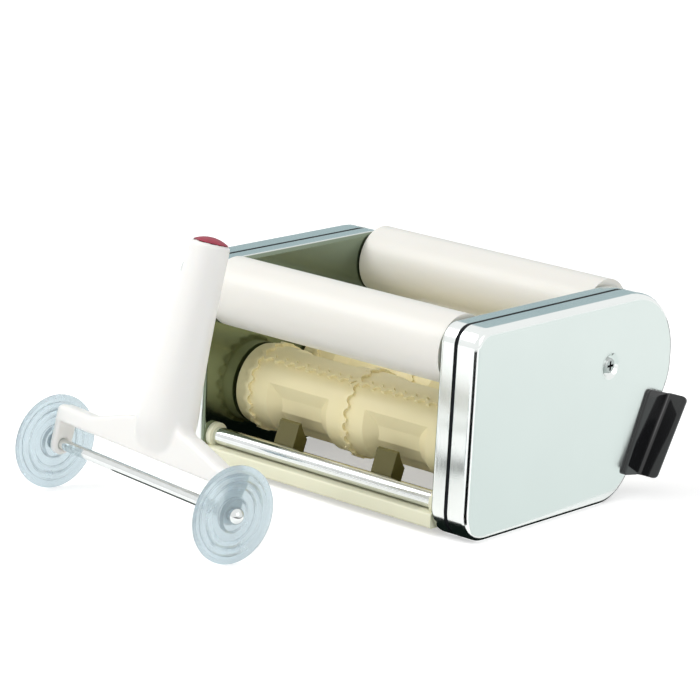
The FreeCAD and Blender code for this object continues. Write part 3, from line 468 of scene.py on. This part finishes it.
def soft_copy(node, body, voxel, rounds, material):
    """A moulded piece with soft blends, as its tool leaves them: the CAD mesh, remeshed and smoothed."""
    piece = own_copy("soft_" + node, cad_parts[node].data)
    bpy.ops.mesh.remove_doubles(threshold=MERGE_DISTANCE)
    apply_modifiers(
        piece,
        (
            ("REMESH", {"mode": "VOXEL", "voxel_size": voxel}),
            ("SMOOTH", {"factor": 0.5, "iterations": rounds}),
        )
    )
    bpy.ops.object.shade_smooth()
    piece.data.materials.clear()
    piece.data.materials.append(material)
    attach(piece, body)
    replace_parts(piece, node)
    return piece


def paint(node_names, material):
    """Give nodes of the frame their material."""
    for name in node_names:
        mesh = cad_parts[name].data
        mesh.materials.clear()
        mesh.materials.append(material)


def both_sides(name):
    """The names of a node's left and right twins."""
    return ["left_" + name, "right_" + name]


class RAVIOLI_OT_casings(bpy.types.Operator):
    """Give both casings their polished covers, pans and plain side plates"""

    bl_idname = "ravioli.casings"
    bl_label = "Casings"

    def execute(self, context):
        sheet = polished_stainless("polished_stainless_sheet", list(colours().casing))
        paint(both_sides("outer_cover"), sheet)
        pan = polished_stainless("pan_stainless_sheet", list(colours().casing))
        # Painted shade: the pans' inner faces beside the rolls are coloured darker, in place of the shade
        # and dark reflections inside the casings.
        low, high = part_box("front_forming_roll")
        past_rolls = Vector((2 * MM, 1, 1))
        tint_inside(pan, list(colours().pan_inside_painted_shade), [(low - past_rolls, high + past_rolls)], 0.6 * MM)
        paint(both_sides("inner_pan"), pan)
        plate = gloss_enamel("blackened_steel_plate", list(colours().side_plate), 0.5, 0.65, 1.2, 0.0)
        paint(both_sides("side_plate"), plate)

        middle = sum(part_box("right_cover_screw"), Vector()) / 2
        face = Vector((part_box("right_outer_cover")[1].x, middle.y, middle.z))
        radius = DIMPLE_RINGS_MM[0][0]
        dimple = ring_start("right_dimple", face + Vector((DIMPLE_LIP, 0, 0)), radius * MM, 72)
        for next_radius, sink in DIMPLE_RINGS_MM[1:]:
            shrink = next_radius / radius
            bpy.ops.mesh.extrude_region_move(TRANSFORM_OT_translate={"value": (-sink * MM, 0, 0)})
            bpy.ops.transform.resize(value=(1, shrink, shrink), center_override=face)
            radius = next_radius
        finish_piece(dimple, sheet)
        other_side(dimple, "left_dimple")
        return {"FINISHED"}


class RAVIOLI_OT_hook_brackets(bpy.types.Operator):
    """Bend the two hook brackets from steel sheet and enamel them black"""

    bl_idname = "ravioli.hook_brackets"
    bl_label = "Hook brackets"

    def execute(self, context):
        enamel = gloss_enamel("stoved_black_enamel", list(colours().hook), 0.09, 0.13, 1.5, 0.35)
        paint(both_sides("hook_bracket"), enamel)
        low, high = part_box("right_hook_bracket")
        reach = high.x - low.x
        bend_low = Vector((low.x, high.y - HOOK_BEND_RISE[1], low.z))
        bend_high = bend_low + Vector(HOOK_BEND_RISE)
        leg_low = bend_low + Vector(HOOK_LEG_LOW)
        leg_high = bend_high + Vector(HOOK_LEG_HIGH)
        middle = (bend_low + bend_high + leg_low + leg_high) / 4
        half = 5 * MM
        hook = square_start("right_bent_hook", middle, 2 * half)
        for y_side, z_side, corner in (
            (-1, -1, leg_low), (1, -1, bend_low), (1, 1, bend_high), (-1, 1, leg_high)
        ):
            start = middle + Vector((0, y_side * half, z_side * half))
            pick(hook, "VERT", lambda co: (co - start).length < half / 10)
            bpy.ops.transform.translate(value=corner - start)

        def on_bend(co):
            return min((co - bend_low).length, (co - bend_high).length) < 0.1 * MM

        pick(hook, "EDGE", on_bend)
        bpy.ops.mesh.extrude_region_move(TRANSFORM_OT_translate={"value": (reach, 0, 0)})
        pick(hook, "VERT", lambda co: not on_bend(co))
        bpy.ops.mesh.bevel(offset=sizes().hook_corner, segments=5, affect="VERTICES")
        pick(hook, "EDGE", on_bend)
        bpy.ops.mesh.bevel(offset=sizes().hook_bend, segments=8, affect="EDGES")
        pick(hook, "FACE", lambda co: abs(co.x - low.x) < 0.05 * MM)
        bpy.ops.object.mode_set(mode="OBJECT")
        flat_leg = next(f for f in hook.data.polygons if f.select)
        if flat_leg.normal.x > 0:
            bpy.ops.object.mode_set(mode="EDIT")
            bpy.ops.mesh.select_all(action="SELECT")
            bpy.ops.mesh.flip_normals()
        finish_piece(
            hook, enamel,
            (
                ("SOLIDIFY", {"thickness": sizes().hook_sheet, "offset": -1.0}),
                (
                    "BEVEL",
                    {"width": sizes().sheet_edge, "segments": 2, "angle_limit": math.radians(50)},
                ),
            )
        )
        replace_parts(hook, "right_hook_bracket")
        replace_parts(other_side(hook, "left_bent_hook"), "left_hook_bracket")
        return {"FINISHED"}


class RAVIOLI_OT_fasteners(bpy.types.Operator):
    """Plate the screws, posts, nuts, clips and rivets with zinc"""

    bl_idname = "ravioli.fasteners"
    bl_label = "Fasteners"

    def execute(self, context):
        zinc = turned_metal("zinc_plated_steel", list(colours().zinc), 0.3, 0.42, 0.3)
        names = both_sides("cover_post") + ["hook_rivets", "tie_rod_nuts", "guide_axle_clips"]
        names += ["front_shaft_clips", "rear_shaft_clips", "knob_screw"]
        paint(names, zinc)

        nickel = turned_metal("nickel_plated_screw", list(colours().zinc), 0.2, 0.28, 0.3)
        slots = []
        for low, high in (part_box("right_cover_screw"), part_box("left_cover_screw")):
            middle = (low + high) / 2
            if middle.x > middle_x():
                start, end = low.x, high.x - SLOT_UNSHADED_DEPTH
            else:
                start, end = low.x + SLOT_UNSHADED_DEPTH, high.x
            for y, z in ((SLOT_HALF_WIDTH, SLOT_HALF_LENGTH), (SLOT_HALF_LENGTH, SLOT_HALF_WIDTH)):
                slots.append(
                    ((start, middle.y - y, middle.z - z), (end, middle.y + y, middle.z + z))
                )
        # Painted shade: the cross slots are coloured dark in place of the shade that falls inside them.
        tint_inside(nickel, list(colours().slot_painted_shade), slots, 0.1 * MM)
        paint(both_sides("cover_screw"), nickel)
        return {"FINISHED"}


class RAVIOLI_OT_forming_rolls(bpy.types.Operator):
    """Mould the two forming rolls in cream nylon"""

    bl_idname = "ravioli.forming_rolls"
    bl_label = "Forming rolls"

    def execute(self, context):
        nylon = moulded_plastic("moulded_cream_nylon", list(colours().roll), 0.38, 0.5, 1.2 * MM, 0.5)
        paint(["front_forming_roll", "rear_forming_roll"], nylon)
        return {"FINISHED"}


class RAVIOLI_OT_guide_rollers(bpy.types.Operator):
    """Extrude the guide rollers in warm white plastic, with their end plugs"""

    bl_idname = "ravioli.guide_rollers"
    bl_label = "Guide rollers"

    def execute(self, context):
        tube = moulded_plastic(
            "extruded_white_tube", list(colours().guide), 0.3, 0.4, 1.0 * MM, 0.7, 0.97
        )
        names = ["front_guide_roller", "rear_guide_roller", "front_guide_plugs", "rear_guide_plugs"]
        paint(names, tube)
        return {"FINISHED"}


class RAVIOLI_OT_dough_combs(bpy.types.Operator):
    """Mould the combs under the rolls and chrome the tie rods that carry them"""

    bl_idname = "ravioli.dough_combs"
    bl_label = "Dough combs and tie rods"

    def execute(self, context):
        comb = moulded_plastic("moulded_cream_acetal", list(colours().comb), 0.34, 0.46, 0.8 * MM, 0.5)
        # Painted shade: the fingers, under the rolls and behind the tie rod, are coloured dark in place of
        # the shadow that falls there.
        fingers = (
            (middle_x() - FINGER_REACH_X, -1, FINGER_START_Z), (middle_x() + FINGER_REACH_X, 1, 1)
        )
        tint_inside(comb, list(colours().finger_painted_shade), [fingers], 2 * MM)
        paint(["front_dough_comb", "rear_dough_comb"], comb)
        chrome = turned_metal("bright_chrome_plate", list(colours().chrome), 0.05, 0.12, 0.3)
        paint(["front_tie_rod", "rear_tie_rod", "crank_rod", "cutter_axle", "cutter_axle_domes"], chrome)
        return {"FINISHED"}


class RAVIOLI_OT_drive(bpy.types.Operator):
    """Finish the shafts, guide axles, bushes and gears"""

    bl_idname = "ravioli.drive"
    bl_label = "Shafts, bushes and gears"

    def execute(self, context):
        steel = turned_metal("turned_shaft_steel", list(colours().plain_steel), 0.22, 0.34, 0.4)
        paint(["front_roll_shaft", "rear_roll_shaft", "front_guide_axle", "rear_guide_axle"], steel)
        paint(["shaft_bushes"], turned_metal("sintered_bronze", list(colours().bronze), 0.4, 0.55, 0.5))
        nylon = moulded_plastic("natural_gear_nylon", list(colours().gear), 0.35, 0.5, 1.0 * MM, 0.5)
        paint(["drive_gear", "driven_gear"], nylon)
        return {"FINISHED"}


class RAVIOLI_OT_crank_knob(bpy.types.Operator):
    """Turn the crank's black knob"""

    bl_idname = "ravioli.crank_knob"
    bl_label = "Crank knob"

    def execute(self, context):
        knob = moulded_plastic("black_phenolic", list(colours().knob), 0.22, 0.34, 0.3 * MM, 0.6)
        paint(["crank_knob"], knob)
        return {"FINISHED"}


class RAVIOLI_OT_dough_cutter(bpy.types.Operator):
    """Mould the cutter's handle, cap and wheels"""

    bl_idname = "ravioli.dough_cutter"
    bl_label = "Dough cutter"

    def execute(self, context):
        handle = moulded_plastic(
            "moulded_white_abs", list(colours().handle), 0.3, 0.36, 0.8 * MM, 0.7, 0.985
        )
        soft_copy("cutter_handle", "cutter", sizes().handle_grain, 10, handle)
        cap = moulded_plastic(
            "moulded_crimson_abs", list(colours().cap), 0.3, 0.45, 0.3 * MM, 0.6, 0.35, 1.8
        )
        paint(["cutter_end_cap"], cap)
        frosted = frosted_plastic("frosted_clear_styrene", list(colours().wheel))
        paint(both_sides("cutter_wheel"), frosted)
        return {"FINISHED"}


def shown_to_camera(tree, strength, other):
    """White for camera, mirror and see-through rays, and a plainer light for the rest."""
    path = add_node(tree, "ShaderNodeLightPath")
    first = add_node(
        tree, "ShaderNodeMath", {"operation": "MAXIMUM"},
        {0: path.outputs["Is Camera Ray"], 1: path.outputs["Is Glossy Ray"]}
    )
    seen = add_node(
        tree, "ShaderNodeMath", {"operation": "MAXIMUM"},
        {0: first.outputs["Value"], 1: path.outputs["Is Transmission Ray"]}
    )
    mixed = add_node(
        tree, "ShaderNodeMapRange", {"To Min": other, "To Max": strength},
        {"Value": seen.outputs["Value"]}
    )
    return mixed.outputs["Result"]


def metal_card(name, corners, near_hex, far_hex=None):
    """A studio card that only polished metal shows, a glowing sheet that paints reflections. It gives bright
    steel the dark edges and pale faces that it has in a photographer's tent, and it lights and shades
    nothing else.
    Its colour turns from the near one to the far one over the first 35 cm behind the origin."""
    bpy.ops.object.select_all(action="DESELECT")
    mesh = bpy.data.meshes.new(name)
    mesh.from_pydata([Vector(c) for c in corners], [], [tuple(range(len(corners)))])
    card = bpy.data.objects.new(name, mesh)
    bpy.context.scene.collection.objects.link(card)
    for ray in ("camera", "diffuse", "transmission", "volume_scatter", "shadow"):
        setattr(card, "visible_" + ray, False)
    material, tree, place, output = start_material(name)
    depth = add_node(tree, "ShaderNodeSeparateXYZ", {}, {"Vector": place})
    fade = add_node(
        tree, "ShaderNodeMapRange", {"From Min": 0.0, "From Max": 0.35}, {"Value": depth.outputs["Y"]}
    )
    tint = shade_between(tree, fade.outputs["Result"], linear(near_hex), linear(far_hex or near_hex))
    glow = add_node(tree, "ShaderNodeEmission", {"Strength": 1.0}, {"Color": tint})
    tree.links.new(glow.outputs["Emission"], output.inputs["Surface"])
    mesh.materials.append(material)


def floor_card(name, height, corners, near_hex, far_hex=None):
    """A metal card lying just over the floor."""
    metal_card(name, [(x, y, height) for x, y in corners], near_hex, far_hex)


def set_cards():
    """What the near casing and the cutter's axle mirror, as painted reflections. The dark cards under the
    machine and under the cutter's axle are painted shadow: they stand in for the shadow on the floor there,
    and only mirrors show them. Floor cards that overlap differ in height.
    """
    floor_card(
        "dark_card_camera_side", 0.0006, [(0.1295, -0.022), (0.25, -0.89), (0.86, -0.5), (0.14, -0.018)],
        "#07080A"
    )
    floor_card(
        "dark_card_under", 0.0004, [(-0.04, -0.021), (0.1308, -0.021), (0.1308, 0.1), (-0.04, 0.1)],
        "#101815"
    )
    floor_card(
        "pale_card_face_side", 0.0008,
        [(0.132, -0.01), (0.9, -0.1), (0.9, 1.5), (0.24, 1.5), (0.14, 0.12)], "#E6F0EE", "#F4FBF9"
    )
    floor_card(
        "dark_card_behind", 0.0006, [(0.1305, 0.1), (0.23, 0.9), (-0.45, 0.7), (0.1, 0.1)], "#1A2326"
    )
    metal_card(
        "grey_card_back", [(-1.8, 0.6, 0.1), (-0.2, 1.6, 0.1), (-0.2, 1.6, 0.75), (-1.8, 0.6, 0.75)],
        "#8EA4AA", "#A9BDC1"
    )
    low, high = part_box("cutter_axle")
    middle = (low + high) / 2
    along = Vector((high.x - low.x, low.y - high.y, 0)).normalized()
    across = Vector((-along.y, along.x, 0))
    strip = [
        middle + along * length * MM + across * width * MM
        for length, width in ((-42, -11), (42, -11), (42, 9), (-42, 9))
    ]
    floor_card("dark_card_cutter", 0.0005, [(p.x, p.y) for p in strip], "#2C3833")


def set_softbox(name, place, side, watts):
    """A square softbox that shines on the middle of the machine."""
    data = bpy.data.lights.new(name, "AREA")
    data.shape = "RECTANGLE"
    data.size = side
    data.size_y = side
    data.energy = watts
    lamp = bpy.data.objects.new(name, data)
    bpy.context.scene.collection.objects.link(lamp)
    lamp.location = place
    lamp.rotation_euler = (Vector((0, 0, 0.05)) - Vector(place)).to_track_quat("-Z", "Y").to_euler()


def set_floor():
    """A white card floor that keeps its shadow and meets the background without a line."""
    bpy.ops.object.select_all(action="DESELECT")
    bpy.ops.mesh.primitive_plane_add(size=12, location=(0, 0, -0.0002))
    floor = bpy.context.object
    floor.name = "studio_floor"
    material, tree, place, output = start_material("white_studio_card")
    fine = add_node(tree, "ShaderNodeTexNoise", {"Scale": 40.0, "Detail": 2.0}, {"Vector": place})
    tint = shade_between(tree, fine.outputs["Fac"], linear("#F4F4F4"), linear("#F8F8F8"))
    card = add_node(tree, "ShaderNodeBsdfDiffuse", {"Roughness": 0.5}, {"Color": tint})
    lift = add_node(
        tree, "ShaderNodeEmission", {"Color": (1, 1, 1, 1)},
        {"Strength": shown_to_camera(tree, FLOOR_LIFT, 0.0)}
    )
    total = add_node(
        tree, "ShaderNodeAddShader", {}, {0: card.outputs["BSDF"], 1: lift.outputs["Emission"]}
    )
    tree.links.new(total.outputs["Shader"], output.inputs["Surface"])
    floor.data.materials.append(material)


def set_world():
    """White walls, a little dimmer as light than as the camera sees them."""
    world = bpy.data.worlds.new("white_studio")
    bpy.context.scene.world = world
    world.use_nodes = True
    tree = world.node_tree
    tree.nodes.clear()
    background = add_node(
        tree, "ShaderNodeBackground", {"Color": (1, 1, 1, 1)},
        {"Strength": shown_to_camera(tree, WALL_SEEN, WALL_LIGHT)}
    )
    output = add_node(tree, "ShaderNodeOutputWorld")
    tree.links.new(background.outputs["Background"], output.inputs["Surface"])


def set_camera():
    """The camera of the product picture, from the angles in the sizes panel."""
    s = sizes()
    target = Vector(s.camera_target)
    azimuth, elevation, roll = s.camera_azimuth, s.camera_elevation, s.camera_roll
    back = Vector(
        (
            math.sin(azimuth) * math.cos(elevation),
            -math.cos(azimuth) * math.cos(elevation),
            math.sin(elevation),
        )
    )
    level_right = Vector((math.cos(azimuth), math.sin(azimuth), 0))
    level_up = back.cross(level_right)
    right = level_right * math.cos(roll) + level_up * math.sin(roll)
    up = level_up * math.cos(roll) - level_right * math.sin(roll)
    data = bpy.data.cameras.new("product_camera")
    data.lens = s.camera_lens
    data.sensor_width = 36
    data.clip_start = 0.05
    data.clip_end = 50
    camera = bpy.data.objects.new("product_camera", data)
    bpy.context.scene.collection.objects.link(camera)
    camera.matrix_world = Matrix.Translation(target + back * s.camera_distance) @ Matrix(
        (
            (right.x, up.x, back.x, 0),
            (right.y, up.y, back.y, 0),
            (right.z, up.z, back.z, 0),
            (0, 0, 0, 1),
        )
    )
    bpy.context.scene.camera = camera


class RAVIOLI_OT_stage(bpy.types.Operator):
    """Set up the white floor, the studio light and the camera of the product picture"""

    bl_idname = "ravioli.stage"
    bl_label = "Stage"

    def execute(self, context):
        context.scene.view_settings.view_transform = "Standard"
        set_floor()
        set_world()
        set_softbox("key_softbox", (-0.75, -0.85, 1.3), 1.0, 13)
        set_softbox("side_softbox", (1.5, -0.2, 0.9), 0.9, 3)
        set_cards()
        set_camera()
        return {"FINISHED"}


class RAVIOLI_PT_panel(bpy.types.Panel):
    """Sidebar panel that lists the pieces, colours and sizes"""

    bl_idname = "RAVIOLI_PT_panel"
    bl_label = "Ravioli Maker"
    bl_space_type = "VIEW_3D"
    bl_region_type = "UI"
    bl_category = "Ravioli Maker"

    def draw(self, context):
        layout = self.layout
        for operator in PIECE_OPERATORS:
            layout.operator(operator.bl_idname)
        for group in (context.scene.ravioli_colours, context.scene.ravioli_sizes):
            column = layout.column(align=True)
            for key in group.__annotations__:
                column.prop(group, key)


PIECE_OPERATORS = (
    RAVIOLI_OT_casings,
    RAVIOLI_OT_hook_brackets,
    RAVIOLI_OT_fasteners,
    RAVIOLI_OT_forming_rolls,
    RAVIOLI_OT_guide_rollers,
    RAVIOLI_OT_dough_combs,
    RAVIOLI_OT_drive,
    RAVIOLI_OT_crank_knob,
    RAVIOLI_OT_dough_cutter,
    RAVIOLI_OT_stage,
)
CLASSES = (RavioliColours, RavioliSizes) + PIECE_OPERATORS + (RAVIOLI_PT_panel,)


def register():
    for each in CLASSES:
        bpy.utils.register_class(each)
    bpy.types.Scene.ravioli_colours = bpy.props.PointerProperty(type=RavioliColours)
    bpy.types.Scene.ravioli_sizes = bpy.props.PointerProperty(type=RavioliSizes)


def unregister():
    del bpy.types.Scene.ravioli_sizes
    del bpy.types.Scene.ravioli_colours
    for each in reversed(CLASSES):
        bpy.utils.unregister_class(each)


def main():
    register()
    bpy.ops.ravioli.casings()
    bpy.ops.ravioli.hook_brackets()
    bpy.ops.ravioli.fasteners()
    bpy.ops.ravioli.forming_rolls()
    bpy.ops.ravioli.guide_rollers()
    bpy.ops.ravioli.dough_combs()
    bpy.ops.ravioli.drive()
    bpy.ops.ravioli.crank_knob()
    bpy.ops.ravioli.dough_cutter()
    bpy.ops.ravioli.stage()


if __name__ == "__main__":
    main()
